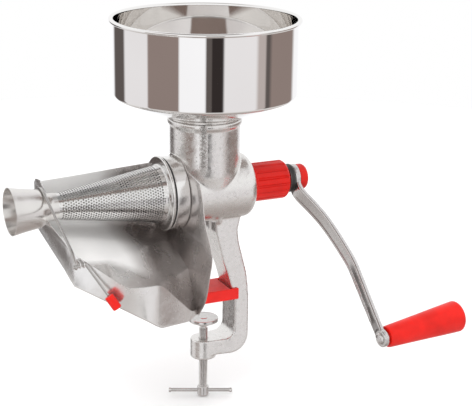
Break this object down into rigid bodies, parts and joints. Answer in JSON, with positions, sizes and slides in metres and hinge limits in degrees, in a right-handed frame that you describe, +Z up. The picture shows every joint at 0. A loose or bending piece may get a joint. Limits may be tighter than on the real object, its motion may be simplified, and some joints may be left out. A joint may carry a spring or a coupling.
{
  "type": "tomato strainer with crank",
  "caption": "Hand cranked food strainer: hopper over an auger in a perforated cone, splash guard trough, crank with grip, and a screw clamp for a table edge.",
  "frame": {"origin": "centre of the upper jaw's underside, where it rests on the table, on the clamp screw's axis", "axes": "X along the drive shaft towards the crank, Y across the table edge with the trough opening at -Y, Z up through the hopper"},
  "size_m": [0.4592, 0.2531, 0.4246],
  "materials": {
    "cast_metal": "tumbled casting, satin",
    "mirror_steel": "polished stainless sheet",
    "neck_metal": "turned, satin",
    "red_shoe": "moulded, semi-gloss",
    "plated_steel": "bright zinc plate",
    "perforated_steel": "perforated stainless sheet",
    "spun_steel": "spun stainless, satin",
    "machined_metal": "machined, bright",
    "seal": "matt",
    "sheet_steel": "bent stainless sheet",
    "red_plastic": "moulded, glossy",
    "white_nylon": "moulded nylon",
    "dark_steel": "blackened",
    "arm_metal": "cast, polished",
    "brass_insert": "turned"
  },
  "bodies": {
    "frame": {"body": "cast_metal", "jaw_pad": "red_shoe", "rear_nut": "red_plastic", "shaft_sleeve": "white_nylon", "shaft_seal": "seal", "thrust_washer": "white_nylon"},
    "hopper_set": {"hopper": "mirror_steel", "hopper_neck": "neck_metal"},
    "strainer_set": {"strainer_cone": "perforated_steel", "outlet_cup": "spun_steel", "cone_ring": "machined_metal", "cone_gasket": "seal", "splash_guard": "sheet_steel"},
    "latch": {"latch_lever": "plated_steel", "lever_tip": "red_plastic"},
    "latch_wire": {"guard_wire": "plated_steel"},
    "crank": {"drive_shaft": "plated_steel", "auger": "white_nylon", "auger_pin": "plated_steel", "crank_washer": "dark_steel", "crank_arm": "arm_metal", "crank_knob": "red_plastic", "knob_insert": "brass_insert", "grip_pin": "plated_steel", "grip_washer": "plated_steel"},
    "grip_turn": {"grip": "red_plastic"},
    "swivel": {"clamp_disc": "plated_steel"},
    "screw": {"clamp_screw": "plated_steel"},
    "t_bar": {"clamp_bar": "plated_steel"}
  },
  "joints": [
    {"name": "crank_turn", "type": "hinge", "parent": "frame", "child": "crank", "pos_m": [0.07, 0, 0.125], "axis": [1, 0, 0], "continuous": true},
    {"name": "grip_spin", "type": "hinge", "parent": "crank", "child": "grip_turn", "pos_m": [0.14245, -0.14213, -0.01713], "axis": [0.9952, 0.069, 0.069], "continuous": true},
    {"name": "hopper_lift", "type": "slide", "parent": "frame", "child": "hopper_set", "axis": [0, 0, 1], "range_m": [0, 0.06]},
    {"name": "strainer_pull", "type": "slide", "parent": "frame", "child": "strainer_set", "axis": [-1, 0, 0], "range_m": [0, 0.15]},
    {"name": "lever_swing", "type": "hinge", "parent": "strainer_set", "child": "latch", "pos_m": [-0.1734, -0.09853, 0.0956], "axis": [-1, 0, 0], "range_deg": [0, 95]},
    {"name": "wire_lift", "type": "hinge", "parent": "latch", "child": "latch_wire", "pos_m": [-0.1806, -0.10253, 0.0956], "axis": [1, 0, 0], "range_deg": [0, 130]},
    {"name": "screw_turn", "type": "hinge", "parent": "swivel", "child": "screw", "pos_m": [0, 0, -0.06], "axis": [0, 0, 1], "range_deg": [-3510, 5430]},
    {"name": "clamp_travel", "type": "slide", "parent": "frame", "child": "swivel", "axis": [0, 0, 1], "range_m": [-0.0146, 0.0226]},
    {"name": "bar_slide", "type": "slide", "parent": "screw", "child": "t_bar", "axis": [0.9135, -0.4067, 0], "range_m": [-0.023, 0.029]}
  ],
  "couplings": [
    {"joint": "screw_turn", "follows": "clamp_travel", "rad_per_m": 4188.8},
    {"joint": "wire_lift", "follows": "lever_swing", "ratio": 1.35}
  ]
}
